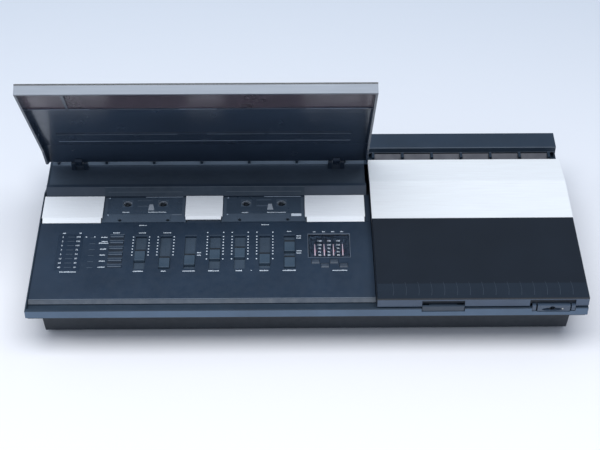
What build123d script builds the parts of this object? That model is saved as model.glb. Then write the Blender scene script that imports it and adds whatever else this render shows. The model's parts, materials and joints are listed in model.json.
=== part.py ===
from build123d import *
import math
import os

# Music centre with a twin cassette deck under a hinged lid (left) and a receiver (right).
# Cabinet coordinates used below, in millimetres: X runs right from the left side, Y runs back
# from the front edge, and Z is height above the top plane of the glass. save() moves every
# piece to the part's own frame, whose origin is the centre of the footprint on the table.

# ---- overall size ----
WIDTH = 630.0
DEPTH = 290.0
HEIGHT = 80.0            # table to the top plane
SEAM = 393.0             # joint line between the deck (left) and the receiver (right)
SEAM_GAP = 0.4           # each side of the joint line
DECK_RIGHT = SEAM - SEAM_GAP
RECEIVER_LEFT = SEAM + SEAM_GAP

# ---- levels ----
COVER_THICK = 2.0        # glass and aluminium cover sheets
STRIP_BOTTOM = -12.6     # lower edge of the front strips below the glass
RAIL_TOP = -14.5
PANEL_TOP = -15.7
PANEL_BOTTOM = -20.2
RAIL_BOTTOM = -26.3
TRAY_FLANGE_BOTTOM = -28.3
FLOOR_BOTTOM = -75.0
FLOOR_TOP = -73.0

# ---- cover outline, front to back ----
COVER_FRONT = 1.9
STRIP_BACK = 4.5
GLASS_BACK = 133.0
RIDGE = 199.0            # bend where the aluminium turns down
COVER_BACK = 246.8
COVER_BACK_Z = -7.7
REAR_BAR_FRONT = 262.7
RUNNING_FIT = 0.05       # radial clearance of every shaft in its hole

# ---- lid ----
OPEN_ANGLE = 58.7        # degrees above closed, as it stands when open
HINGE_Y = 247.5
HINGE_Z = -10.9
HINGE_RADIUS = 3.0
PIN_RADIUS = 1.5
HINGE_LEFTS = (28.0, 344.6)
HINGE_WIDTH = 20.0
EAR_WIDTH = 5.0
LID_WALL = 2.5
LINER_FRONT = 74.5
LINER_BOTTOM = -3.6

# ---- control panel ----
COLUMN_PITCH = 28.93
COLUMNS = [122.6 + COLUMN_PITCH * k for k in range(7)]
SLOT_HALF_WIDTH = 6.5
KNOB_HALF_WIDTH = 6.1
KNOB_LENGTH = 15.3
KNOB_TOP = -13.5
KNOB_STEP = 3.2          # lower dark step behind each knob
STEM_HALF_WIDTH = 0.6
SLIT_HALF_WIDTH = 0.95
POCKET_FLOOR = -18.4
SLOT_FRONT = 66.8
SLOT_BACK = 120.5
SLIDER_REST = (86.9, 75.5, 79.6, 88.7, 91.2, 81.0)
SWITCH_REST = (101.2, 75.3)
KEY_PITCH = 9.9
KEY_ROWS = [71.9 + KEY_PITCH * k for k in range(6)]
KEY_X = (86.0, 102.0)
KEY_HALF_DEPTH = 2.45
METER = ((25.5, 54.5), (66.0, 125.0))

# ---- preset tuners ----
TUNER_WINDOW = ((318.0, 366.4), (84.5, 123.0))
TUNER_PITCH = 10.75
TUNERS = [326.1 + TUNER_PITCH * k for k in range(4)]
POINTER_Y = 97.0
POINTER_TRAVEL = 9.0     # each way
WHEEL_ROWS = (77.8, 71.2)
WHEEL_RADIUS = 6.0
WHEEL_HALF_WIDTH = 4.5
AXLE_RADIUS = 1.0
WHEEL_PROUD = 0.8
WHEEL_Z = PANEL_TOP + WHEEL_PROUD - WHEEL_RADIUS

# ---- cassette decks ----
HUB_SPACING = 42.5
HUB_Y = 181.3
DECKS = {"a": 122.85, "b": 265.65}
CASSETTE = (100.4, 63.8, 8.8)
CASSETTE_FRONT = HUB_Y - 34.7
CASSETTE_TOP = -18.5
CASSETTE_BOTTOM = CASSETTE_TOP - CASSETTE[2]
SHELL_WALL = 1.2
WELL_MARGIN = 0.9
HOOD_BOTTOM = -17.0      # underside of the hood over the back of each cassette
HOOD_TOP = -15.5
HUB_HOLE_RADIUS = 5.6
DECK_PLATE_TOP = -34.5
DECK_PLATE_BOTTOM = -36.0
SPINDLE_RADIUS = 3.0
CAPSTAN_OFFSET = 28.5
CAPSTAN_Y = CASSETTE_FRONT + 4.4
CAPSTAN_RADIUS = 1.0
CARRIAGE_TRAVEL = 4.2

# ---- sockets and circuit boards ----
SOCKET_Z = -50.0
DIN_SOCKETS = (60.0, 100.0, 140.0, 180.0)
DIN_HOLE = 9.0
AERIAL_SOCKETS = (440.0, 470.0)
AERIAL_HOLE = 6.0
MAINS_X = 570.0
SOCKET_BORE = 6.8
SOCKET_DEPTH = 8.0
SOCKET_FACE = 285.5
JACK_X = 589.5
JACK_Z = -15.3
JACK_RADIUS = 3.2
JACK_BACK = 16.0
BOARD_BOTTOM = -60.0
BOARD_TOP = -29.4
BOARD_THICK = 1.6
CONTROL_POSTS = [(x, y) for x in (24.0, 376.0) for y in (34.0, 100.0)]
MAIN_POSTS = [(x, y) for x in (412.0, 600.0) for y in (50.0, 168.0)]

# ---- deck surround ----
TRIM_FRONT = 145.8
TRIM_BEND = 152.6
TRIM_DROP = -2.3
TRIM_OVERHANG = 1.9      # of the trim plates past the edges of the cassette wells
MIDDLE_TRIM_FRONT = 150.3
MIDDLE_TRIM_BEND = 154.2
MIDDLE_TRIM_DROP = -1.3
TRIM_BACK = 190.0
LEDGE_FRONT = 191.5
LEDGE_TOP = -7.0
VALLEY = -19.0


def slab(x, y, z):
    """Block between the low and high values given for each axis."""
    size = (x[1] - x[0], y[1] - y[0], z[1] - z[0])
    return Pos(x[0], y[0], z[0]) * Box(*size, align=(Align.MIN, Align.MIN, Align.MIN))


def rod_z(x, y, z, radius):
    """Round bar along Z from z[0] to z[1]."""
    bar = Cylinder(radius, z[1] - z[0], align=(Align.CENTER, Align.CENTER, Align.MIN))
    return Pos(x, y, z[0]) * bar


def rod_x(x, y, z, radius):
    """Round bar along X from x[0] to x[1]."""
    bar = Cylinder(radius, x[1] - x[0], align=(Align.CENTER, Align.CENTER, Align.MIN))
    return Pos(x[0], y, z) * Rot(0, 90, 0) * bar


def rod_y(x, y, z, radius):
    """Round bar along Y from y[0] to y[1]."""
    bar = Cylinder(radius, y[1] - y[0], align=(Align.CENTER, Align.CENTER, Align.MIN))
    return Pos(x, y[0], z) * Rot(-90, 0, 0) * bar


def profile(x, outline):
    """Side outline, given as (Y, Z) points, drawn out along X from x[0] to x[1]."""
    face = make_face(Polyline(*[(x[0], y, z) for y, z in outline], close=True))
    return extrude(face, amount=x[1] - x[0], dir=(1, 0, 0))


def ease_top(shape, size):
    """Small chamfer round the top face."""
    return chamfer(shape.faces().sort_by(Axis.Z)[-1].edges(), size)


def save(name, shape):
    """Move a piece to the part's frame and write it."""
    placed = Pos(-WIDTH / 2, -DEPTH / 2, HEIGHT) * shape
    export_step(placed, f"parts/{name}.step")


def save_lid(name, shape):
    """Swing a piece of the closed lid to its open rest place and write it."""
    hinge_line = Axis((0, HINGE_Y, HINGE_Z), (1, 0, 0))
    save(name, shape.rotate(hinge_line, -OPEN_ANGLE))


# ---- case ----

def base_tray():
    """Lower tray: sloping front and sides, upright back, and a flange that carries the frame."""
    wall = 2.0

    def hopper(inset, bottom, top):
        low = Plane.XY.offset(bottom) * Pos(315, 156) * Rectangle(602 - 2 * inset, 256 - 2 * inset)
        high = Plane.XY.offset(top) * Pos(315, 153) * Rectangle(606 - 2 * inset, 262 - 2 * inset)
        return loft([low.face(), high.face()])

    tray = hopper(0, FLOOR_BOTTOM, TRAY_FLANGE_BOTTOM)
    tray += slab((2, 628), (2, 288), (TRAY_FLANGE_BOTTOM, RAIL_BOTTOM))
    tray -= hopper(wall, FLOOR_TOP, TRAY_FLANGE_BOTTOM)
    tray -= slab((14, 616), (24, 282), (TRAY_FLANGE_BOTTOM - 0.1, RAIL_BOTTOM))
    for x, y in screw_places():
        tray -= rod_z(x, y, (TRAY_FLANGE_BOTTOM, RAIL_BOTTOM), 1.8)
    for x in DIN_SOCKETS:
        tray -= rod_y(x, (280, 286), SOCKET_Z, DIN_HOLE)
    for x in AERIAL_SOCKETS:
        tray -= rod_y(x, (280, 286), SOCKET_Z, AERIAL_HOLE)
    tray -= slab((MAINS_X - 12, MAINS_X + 12), (280, 286), (SOCKET_Z - 8, SOCKET_Z + 8))
    vent_pitch = 9.0
    vent_width = 3.0
    for k in range(9):
        x = 532 + vent_pitch * k
        tray -= slab((x, x + vent_width), (190, 250), (FLOOR_BOTTOM, FLOOR_TOP))
    for x, y in MAIN_POSTS:
        tray += rod_z(x, y, (FLOOR_TOP, BOARD_BOTTOM), 4.0)
    return tray


def screw_places():
    """Fastening places round the flange: two on each side and two at the front."""
    sides = [(x, y) for x in (8.0, 622.0) for y in (60.0, 230.0)]
    return sides + [(200.0, 12.0), (430.0, 12.0)]


def surround_frame():
    """Rail round the body, with a step inside that the panels rest on."""
    frame = slab((0, WIDTH), (0, DEPTH), (RAIL_BOTTOM, PANEL_BOTTOM))
    frame += slab((0, WIDTH), (0, REAR_BAR_FRONT - 0.5), (PANEL_BOTTOM, RAIL_TOP))
    frame = chamfer(frame.edges().filter_by(Axis.X).sort_by(Axis.Y)[:2], 0.8)
    frame -= slab((14, 616), (18, 276), (RAIL_BOTTOM, PANEL_BOTTOM))
    frame -= slab((1.5, 628.5), (4, DEPTH), (PANEL_BOTTOM, RAIL_TOP))
    dip = [(197, RAIL_TOP), (212, PANEL_BOTTOM), (270, PANEL_BOTTOM), (270, RAIL_TOP)]
    frame -= profile((-1, WIDTH + 1), dip)
    frame -= slab((443.2, 491.6), (-1, 18), (-18.9, RAIL_TOP))
    frame -= slab((572.6, 609.9), (-1, 18), (-20.2, RAIL_TOP))
    frame -= slab((566.6, 615.6), (-1, 4.5), (-19.4, RAIL_TOP))
    for x, y in screw_places():
        frame -= rod_z(x, y, (RAIL_BOTTOM, RAIL_BOTTOM + 4.5), PIN_RADIUS)
    return frame


def rear_cover():
    """Hollow bar along the back with a ribbed vent channel in front of it."""
    shell = [
        (REAR_BAR_FRONT, -9.8), (REAR_BAR_FRONT, -2.1), (REAR_BAR_FRONT + 0.6, -1.5), (289, -1.1),
        (DEPTH, -2.1), (DEPTH, PANEL_BOTTOM), (287.5, PANEL_BOTTOM), (287.5, -4), (270.5, -4),
        (270.5, PANEL_BOTTOM), (269, PANEL_BOTTOM), (269, -4), (265.2, -4), (265.2, -9.8),
    ]
    left_end = 2.0
    right_end = WIDTH - 2.0
    cover = profile((left_end, right_end), shell)
    for x in (left_end, right_end - 2.0):
        cover += slab((x, x + 2.0), (REAR_BAR_FRONT, 289), (PANEL_BOTTOM, -2.1))
    rib_half = 1.5
    rib_pitch = 36.4
    for k in range(7):
        for x in (RECEIVER_LEFT + 7.6 + rib_pitch * k, SEAM - 28.0 - 59.0 * k):
            cover += slab((x - rib_half, x + rib_half), (254, 270), (PANEL_BOTTOM, -9.8))
    cover += slab((left_end, right_end), (252, 269.5), (PANEL_BOTTOM, VALLEY))
    return cover


def case_screws():
    """Six screws that hold the frame down on the tray flange."""
    head_height = 2.0
    screws = []
    for x, y in screw_places():
        head = rod_z(x, y, (TRAY_FLANGE_BOTTOM - head_height, TRAY_FLANGE_BOTTOM), 3.0)
        shank = rod_z(x, y, (TRAY_FLANGE_BOTTOM, RAIL_BOTTOM + 4.3), PIN_RADIUS)
        screws.append(head + shank)
    return Compound(children=screws)


def feet():
    """Four round rubber feet."""
    pads = []
    for x in (52, 578):
        for y in (66, 262):
            pad = rod_z(x, y, (-HEIGHT, FLOOR_BOTTOM), 11.0)
            pads.append(chamfer(pad.faces().sort_by(Axis.Z)[0].edges(), 1.2))
    return Compound(children=pads)


def rear_sockets():
    """Round multi-pole sockets, aerial sockets and the mains inlet in the back wall."""
    pieces = []
    neck = (268, 284)
    flange = (284, SOCKET_FACE)
    pin_circle = 4.0
    for x in DIN_SOCKETS:
        body = rod_y(x, neck, SOCKET_Z, DIN_HOLE - 0.1) + rod_y(x, flange, SOCKET_Z, 10.5)
        body -= rod_y(x, (SOCKET_FACE - SOCKET_DEPTH, 286), SOCKET_Z, SOCKET_BORE)
        for k in range(5):
            turn = math.radians(180 + 45 * k)
            hole_x = x + pin_circle * math.cos(turn)
            hole_z = SOCKET_Z + pin_circle * math.sin(turn)
            body -= rod_y(hole_x, (272, 279), hole_z, 0.8)
        pieces.append(body)
    for x in AERIAL_SOCKETS:
        body = rod_y(x, neck, SOCKET_Z, AERIAL_HOLE - 0.1) + rod_y(x, flange, SOCKET_Z, 8.0)
        pieces.append(body - rod_y(x, (275, 286), SOCKET_Z, 4.7))
    inlet = slab((MAINS_X - 11.9, MAINS_X + 11.9), (264, 284), (SOCKET_Z - 7.9, SOCKET_Z + 7.9))
    inlet += slab((MAINS_X - 14, MAINS_X + 14), flange, (SOCKET_Z - 10, SOCKET_Z + 10))
    inlet -= slab((MAINS_X - 9, MAINS_X + 9), (270, 286), (SOCKET_Z - 5, SOCKET_Z + 5))
    for side in (-4.3, 4.3):
        inlet += rod_y(MAINS_X + side, (269, 282), SOCKET_Z, 1.2)
    pieces.append(inlet)
    return Compound(children=pieces)


# ---- control panel ----

def control_panel():
    """Moulded panel with slider pockets, key openings, tuner window and wheel openings."""
    panel = profile((1.8, 392.8), [
        (14.8, PANEL_BOTTOM), (14.8, -18.7), (19.9, PANEL_TOP), (144.3, PANEL_TOP), (144.3, PANEL_BOTTOM),
    ])
    bearing_left = TUNERS[0] - WHEEL_HALF_WIDTH - 2
    bearing_right = TUNERS[3] + WHEEL_HALF_WIDTH + 2
    panel += slab((bearing_left, bearing_right), (65, 85), (-24.0, PANEL_BOTTOM))
    below = -25.0
    slit = (SLOT_FRONT + 1.2, SLOT_BACK - 1.2)
    for x in COLUMNS:
        panel -= slab((x - SLOT_HALF_WIDTH, x + SLOT_HALF_WIDTH), (SLOT_FRONT, SLOT_BACK), (POCKET_FLOOR, 0))
        panel -= slab((x - SLIT_HALF_WIDTH, x + SLIT_HALF_WIDTH), slit, (below, 0))
    key_gap = 0.4
    key_reach = KEY_HALF_DEPTH + key_gap
    for y in KEY_ROWS:
        panel -= slab((KEY_X[0] - key_gap, KEY_X[1] + key_gap), (y - key_reach, y + key_reach), (below, 0))
    panel -= slab(METER[0], METER[1], (PANEL_TOP - 1.2, 0))
    panel -= slab(TUNER_WINDOW[0], TUNER_WINDOW[1], (-19.2, 0))
    slit_half = POINTER_TRAVEL + 2.0
    wheel_gap = 0.4
    wheel_reach = WHEEL_HALF_WIDTH + wheel_gap
    axle_reach = wheel_reach + 0.4
    for k, x in enumerate(TUNERS):
        panel -= slab((x - 0.9, x + 0.9), (POINTER_Y - slit_half, POINTER_Y + slit_half), (below, 0))
        y = WHEEL_ROWS[k % 2]
        panel -= rod_x((x - wheel_reach, x + wheel_reach), y, WHEEL_Z, WHEEL_RADIUS + wheel_gap)
        panel -= rod_x((x - axle_reach, x + axle_reach), y, WHEEL_Z, AXLE_RADIUS + RUNNING_FIT)
    for x, y in CONTROL_POSTS:
        panel += rod_z(x, y, (BOARD_TOP, PANEL_BOTTOM), 3.0)
    return panel


def meter_window():
    """Smoked pane over the level meter lamps, let flush into the panel."""
    (x0, x1), (y0, y1) = METER
    return slab((x0 + 0.1, x1 - 0.1), (y0 + 0.1, y1 - 0.1), (PANEL_TOP - 1.2, PANEL_TOP))


def tuner_window():
    """Clear pane over the preset tuning scales."""
    (x0, x1), (y0, y1) = TUNER_WINDOW
    return slab((x0 + 0.1, x1 - 0.1), (y0 + 0.1, y1 - 0.1), (-17.2, PANEL_TOP - 0.3))


def slider_knob(x, y):
    """Flat sliding knob with a lower step behind it and a stem through the slit in its pocket."""
    width = (x - KNOB_HALF_WIDTH, x + KNOB_HALF_WIDTH)
    front = y - KNOB_LENGTH / 2
    back = y + KNOB_LENGTH / 2
    bottom = POCKET_FLOOR + 0.4
    knob = ease_top(slab(width, (front, back), (bottom, KNOB_TOP)), 0.5)
    knob += slab(width, (back - 0.6, back + KNOB_STEP), (bottom, KNOB_TOP - 0.7))
    return knob + slab((x - STEM_HALF_WIDTH, x + STEM_HALF_WIDTH), (y - 4, y + 4), (-27, bottom))


def push_key(y):
    """Narrow push key with a collar underneath that stops it lifting out."""
    key = slab(KEY_X, (y - KEY_HALF_DEPTH, y + KEY_HALF_DEPTH), (-22.5, -14.7))
    key = ease_top(key, 0.5)
    lip = 1.5
    collar = slab((KEY_X[0] - lip, KEY_X[1] + lip), (y - KEY_HALF_DEPTH, y + KEY_HALF_DEPTH), (-22.5, -20.8))
    return key + collar


def tuning_wheel(x, y):
    """Ribbed thumbwheel with a short axle at each end."""
    wheel = rod_x((x - WHEEL_HALF_WIDTH, x + WHEEL_HALF_WIDTH), y, WHEEL_Z, WHEEL_RADIUS)
    rib_count = 30
    for k in range(rib_count):
        turn = 2 * math.pi * k / rib_count
        rib_y = y + WHEEL_RADIUS * math.cos(turn)
        rib_z = WHEEL_Z + WHEEL_RADIUS * math.sin(turn)
        wheel -= rod_x((x - WHEEL_HALF_WIDTH, x + WHEEL_HALF_WIDTH), rib_y, rib_z, 0.3)
    axle_reach = WHEEL_HALF_WIDTH + 0.6
    return wheel + rod_x((x - axle_reach, x + axle_reach), y, WHEEL_Z, AXLE_RADIUS)


def tuning_pointer(x):
    """Small pointer that slides in its slit below the tuner window."""
    blade = slab((x - 1.2, x + 1.2), (POINTER_Y - 1.8, POINTER_Y + 1.8), (-18.8, -18.0))
    return blade + slab((x - 0.5, x + 0.5), (POINTER_Y - 1.4, POINTER_Y + 1.4), (-24.0, -18.8))


# ---- twin cassette deck ----

def well(center, margin=WELL_MARGIN):
    """Plan limits of the recess round a cassette."""
    x = (center - CASSETTE[0] / 2 - margin, center + CASSETTE[0] / 2 + margin)
    y = (CASSETTE_FRONT - margin, CASSETTE_FRONT + CASSETTE[1] + margin)
    return x, y


def trim_ranges():
    """Width of each aluminium trim plate, left to right."""
    well_a, well_b = [well(center, WELL_MARGIN - TRIM_OVERHANG)[0] for center in DECKS.values()]
    return (2.0, well_a[0]), (well_a[1], well_b[0]), (well_b[1], 386.4)


def deck_surround():
    """Panel round both cassette wells, with a ledge that hoods their backs, a valley and hinge ears."""
    deck = slab((1.8, 392.8), (144.7, LEDGE_FRONT), (PANEL_BOTTOM, PANEL_TOP))
    ledge = [
        (LEDGE_FRONT - 0.1, PANEL_BOTTOM), (LEDGE_FRONT - 0.1, PANEL_TOP), (RIDGE, LEDGE_TOP),
        (203.5, LEDGE_TOP), (206, VALLEY), (251.5, VALLEY), (251.5, VALLEY - 1.2), (204, VALLEY - 1.2),
    ]
    deck += profile((3.0, 389.6), ledge)
    for x0, x1 in trim_ranges():
        deck -= slab((x0 - 0.3, x1 + 0.3), (144.6, 156), (-18.3, PANEL_TOP))
    skirt = 1.5
    for center in DECKS.values():
        x, y = well(center)
        outer = slab((x[0] - skirt, x[1] + skirt), (150, y[1] + skirt), (-31, PANEL_BOTTOM))
        hood = slab((x[0] - skirt, x[1] + skirt), (204, y[1] + skirt), (PANEL_BOTTOM, HOOD_TOP))
        deck += outer + hood
        deck -= slab(x, (y[0], LEDGE_FRONT), (-40, 0))
        deck -= slab(x, y, (-40, HOOD_BOTTOM))
    for left in HINGE_LEFTS:
        for x in (left, left + HINGE_WIDTH - EAR_WIDTH):
            span = (x, x + EAR_WIDTH)
            ear = slab(span, (HINGE_Y - HINGE_RADIUS, HINGE_Y + HINGE_RADIUS), (VALLEY, HINGE_Z))
            ear += rod_x(span, HINGE_Y, HINGE_Z, HINGE_RADIUS)
            deck += ear - rod_x(span, HINGE_Y, HINGE_Z, PIN_RADIUS + RUNNING_FIT)
    return deck


def trim_plate(x, inset, bend=TRIM_BEND, front=TRIM_FRONT, drop=TRIM_DROP):
    """Aluminium plate beside a cassette, with a narrower lip rolled down at the front."""
    flat = slab(x, (bend, TRIM_BACK), (PANEL_TOP, RAIL_TOP))
    lip = profile((x[0] + inset[0], x[1] - inset[1]), [
        (bend, PANEL_TOP), (bend, RAIL_TOP), (front, RAIL_TOP + drop), (front, PANEL_TOP + drop),
    ])
    return flat + lip


def cassette_shell(center):
    """Compact cassette body: hollow, with hub holes, capstan holes and an open front for the head."""
    (x0, x1), (y0, y1) = well(center, 0)
    shell = slab((x0, x1), (y0, y1), (CASSETTE_BOTTOM, CASSETTE_TOP))
    shell = chamfer(shell.edges().filter_by(Axis.Z), 2.0)
    shell += slab((center - 31, center + 31), (y0, y0 + 14), (CASSETTE_BOTTOM - 0.9, CASSETTE_TOP + 0.9))
    inside = (CASSETTE_BOTTOM + SHELL_WALL, CASSETTE_TOP - SHELL_WALL)
    shell -= slab((x0 + SHELL_WALL, x1 - SHELL_WALL), (y0 + SHELL_WALL, y1 - SHELL_WALL), inside)
    for side in (-1, 1):
        shell -= rod_z(center + side * HUB_SPACING / 2, HUB_Y, (-40, 0), HUB_HOLE_RADIUS)
        roller_x = center + side * CAPSTAN_OFFSET
        shell -= rod_z(roller_x, CAPSTAN_Y, (-40, 0), 2.2)
        shell -= slab((roller_x - 5, roller_x + 5), (y0 - 1, y0 + 2), inside)
    shell -= slab((center - 7, center + 7), (y0 - 1, y0 + 2), inside)
    return shell


def reel(x, pack_radius):
    """Drive spindle with its table, and the cassette hub with the tape wound on it."""
    spindle = rod_z(x, HUB_Y, (-46, -19.6), SPINDLE_RADIUS)
    spindle += rod_z(x, HUB_Y, (-33, -31), 12.0)
    for k in range(3):
        fin = slab((2.0, 4.1), (-0.5, 0.5), (-26, -20.4))
        spindle += Pos(x, HUB_Y, 0) * Rot(0, 0, 120 * k) * fin
    spindle = spindle.solid()
    hub = rod_z(x, HUB_Y, (-25.7, -20.1), 11.0)
    hub += rod_z(x, HUB_Y, (-24.8, -21.0), pack_radius)
    hub -= rod_z(x, HUB_Y, (-26, -20), 5.2)
    for k in range(6):
        tooth = slab((4.45, 5.6), (-0.55, 0.55), (-25.7, -20.1))
        hub += Pos(x, HUB_Y, 0) * Rot(0, 0, 60 * k + 30) * tooth
    return Compound(children=[spindle, hub.solid()])


def capstan_flywheel(center):
    """Capstan pressed into its flywheel."""
    x = center + CAPSTAN_OFFSET
    shaft = rod_z(x, CAPSTAN_Y, (-56, -20.6), CAPSTAN_RADIUS)
    rim = rod_z(x, CAPSTAN_Y, (-56, -50), 21.0)
    rim -= rod_z(x, CAPSTAN_Y, (-52, -50), 17.0)
    boss = rod_z(x, CAPSTAN_Y, (-52.5, -46), 4.0)
    return shaft + rim + boss


def head_carriage(center):
    """Sliding plate with the tape head and the pinch roller on its pin."""
    back = CASSETTE_FRONT - 7.1
    plate = slab((center - 32, center + 38), (back - 30, back - 1), (-33.4, -32.0))
    bracket = slab((center - 6, center + 6), (back - 8, back), (-32.1, -21.0))
    tape_level = (CASSETTE_BOTTOM + SHELL_WALL + 0.5, CASSETTE_TOP - SHELL_WALL - 0.7)
    head = slab((center - 6, center + 6), (back - 0.1, back + 4.8), tape_level)
    head = chamfer(head.edges().filter_by(Axis.Z).sort_by(Axis.Y)[-2:], 1.5)
    roller_x = center + CAPSTAN_OFFSET
    roller_y = back + 1.0
    arm = slab((roller_x - 3, roller_x + 3), (back - 10, roller_y), (-32.1, -30.5))
    pin = rod_z(roller_x, roller_y, (-30.6, tape_level[0]), 1.0)
    roller = rod_z(roller_x, roller_y, tape_level, 4.0)
    return plate + bracket + head + arm + pin + roller


def deck_plate():
    """Steel plate that carries both tape mechanisms, with posts that hold the cassettes."""
    plate = slab((55, 334), (106, 258), (DECK_PLATE_BOTTOM, DECK_PLATE_TOP))
    for center in DECKS.values():
        for side in (-1, 1):
            plate -= rod_z(center + side * HUB_SPACING / 2, HUB_Y, (-37, -33), SPINDLE_RADIUS + RUNNING_FIT)
            for y in (CASSETTE_FRONT + 20, CASSETTE_FRONT + 58):
                plate += rod_z(center + side * 44, y, (DECK_PLATE_TOP, CASSETTE_BOTTOM), 2.0)
        plate -= rod_z(center + CAPSTAN_OFFSET, CAPSTAN_Y, (-37, -33), CAPSTAN_RADIUS + RUNNING_FIT)
    for x in (62, 326):
        plate += rod_z(x, 250, (FLOOR_TOP, DECK_PLATE_BOTTOM), 4.0)
        plate += rod_z(x, 114, (FLOOR_TOP, DECK_PLATE_BOTTOM), 4.0)
    return plate


def drive_motor():
    """Motor can hung under the deck plate between the two flywheels."""
    can = rod_z(205, 205, (-66, DECK_PLATE_BOTTOM), 15.0)
    return chamfer(can.faces().sort_by(Axis.Z)[0].edges(), 1.5) + rod_z(205, 205, (-69, -66), 3.0)


# ---- receiver ----

def cover_outline(front, sheet_top=0.0, sheet_bottom=-COVER_THICK):
    """Side outline of a cover sheet that is flat to the ridge and then slopes down to the back."""
    return [
        (front, sheet_top), (RIDGE, sheet_top), (COVER_BACK, COVER_BACK_Z + sheet_top),
        (COVER_BACK - 0.3, COVER_BACK_Z + sheet_bottom), (RIDGE - 0.15, sheet_bottom),
        (front, sheet_bottom),
    ]


def receiver_frame():
    """Open frame under the receiver's glass and aluminium cover."""
    under = -COVER_THICK - 0.05
    front = STRIP_BACK + 0.3
    back = COVER_BACK - 0.4
    side = [
        (front, under), (RIDGE - 0.2, under), (back, COVER_BACK_Z - COVER_THICK - 0.1),
        (back, STRIP_BOTTOM), (front, STRIP_BOTTOM),
    ]
    frame = profile((RECEIVER_LEFT, WIDTH), side)
    frame -= slab((RECEIVER_LEFT + 2.5, WIDTH - 2.5), (7.3, 240), (-30, 0))
    skirt = slab((RECEIVER_LEFT, 627.8), (7.0, 242), (PANEL_BOTTOM, STRIP_BOTTOM))
    skirt -= slab((RECEIVER_LEFT + 2.5, 625.3), (9.5, 239.5), (-30, 0))
    frame += skirt
    frame += slab((RECEIVER_LEFT, WIDTH), (128, 138), (-5.0, under))
    frame -= slab((442.5, 492.2), (0, 30), (-18.9, -11.0))
    frame -= slab((565.5, 617.0), (0, 22), (PANEL_BOTTOM, -10.5))
    return frame


def receiver_front_strip():
    """Front strip of the receiver with two notches in its lower edge."""
    strip = slab((RECEIVER_LEFT + 0.2, WIDTH), (COVER_FRONT, STRIP_BACK), (STRIP_BOTTOM, -COVER_THICK - 0.05))
    strip -= slab((443.5, 491.3), (0, 6), (STRIP_BOTTOM, -3.9))
    strip -= slab((564.0, 615.4), (0, 6), (STRIP_BOTTOM, -3.0))
    return strip


def release_tab():
    """Push tab in the first notch, with an arm that runs back under the frame."""
    tab = slab((443.9, 490.9), (0.5, 3.2), (-18.4, -11.4))
    tab = fillet(tab.edges().filter_by(Axis.Y).sort_by(Axis.Z)[:2], 1.5)
    return tab + slab((452, 483), (3.1, 16), (-13.6, -11.6))


def front_socket_block():
    """Block in the second notch: scooped front with the headphone socket, and a lug at each side."""
    block = slab((573.0, 609.5), (0.5, 17.5), (-19.9, -11.0))
    scoop = Pos(589.5, 0.4, -17.0) * scale(Sphere(1), (11.5, 5.0, 2.8))
    block -= scoop
    block += slab((567.0, 615.2), (6.0, 8.0), (-13.4, -11.0))
    lug_width = 4.2
    for x in (567.0, 611.0):
        lug = slab((x, x + lug_width), (0.5, 8.0), (-18.9, -11.0))
        block += lug - slab((x, x + lug_width), (4.2, 9.0), (-19.0, -14.2))
    return block - rod_y(JACK_X, (-1, JACK_BACK), JACK_Z, JACK_RADIUS)


def circuit_boards():
    """Control board under the sliders and the receiver's main board with its larger components."""
    control = slab((18, 382), (28, 105), (BOARD_TOP - BOARD_THICK, BOARD_TOP))
    main = slab((405, 606), (44, 175), (BOARD_BOTTOM, BOARD_BOTTOM + BOARD_THICK))
    foot = BOARD_BOTTOM + BOARD_THICK - 0.1
    can_pitch = 24.0
    chip_pitch = 30.0
    for k in range(6):
        main += rod_z(425 + can_pitch * k, 70, (foot, -40), 7.0)
        chip_left = 415 + chip_pitch * k
        main += slab((chip_left, chip_left + 18), (100, 108), (foot, -53))
    main += slab((556, 600), (115, 160), (foot, -38))
    return Compound(children=[control, main])


def transformer():
    """Mains transformer: laminated core with the winding round its middle limb."""
    core = slab((538, 598), (185, 245), (FLOOR_TOP, -33))
    core -= slab((538, 598), (197, 207), (-63, -43))
    core -= slab((538, 598), (223, 233), (-63, -43))
    winding = slab((532, 604), (198, 232), (-62, -44))
    return core + winding


# ---- lid (drawn closed) ----

def lid_glass():
    """Smoked glass front half of the lid."""
    return ease_top(slab((0, DECK_RIGHT), (COVER_FRONT, GLASS_BACK), (-COVER_THICK, 0)), 0.4)


def lid_plate():
    """Folded aluminium rear half of the lid, notched for the hinge ears."""
    plate = profile((0, DECK_RIGHT), cover_outline(GLASS_BACK + 0.2))
    for left in HINGE_LEFTS:
        plate -= slab((left - 1, left + HINGE_WIDTH + 1), (243.3, 250), (-12, 0))
    return plate


def lid_front_strip():
    """Aluminium strip along the lid's front edge."""
    return slab((0, DECK_RIGHT), (COVER_FRONT, STRIP_BACK), (STRIP_BOTTOM, -COVER_THICK - 0.05))


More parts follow.
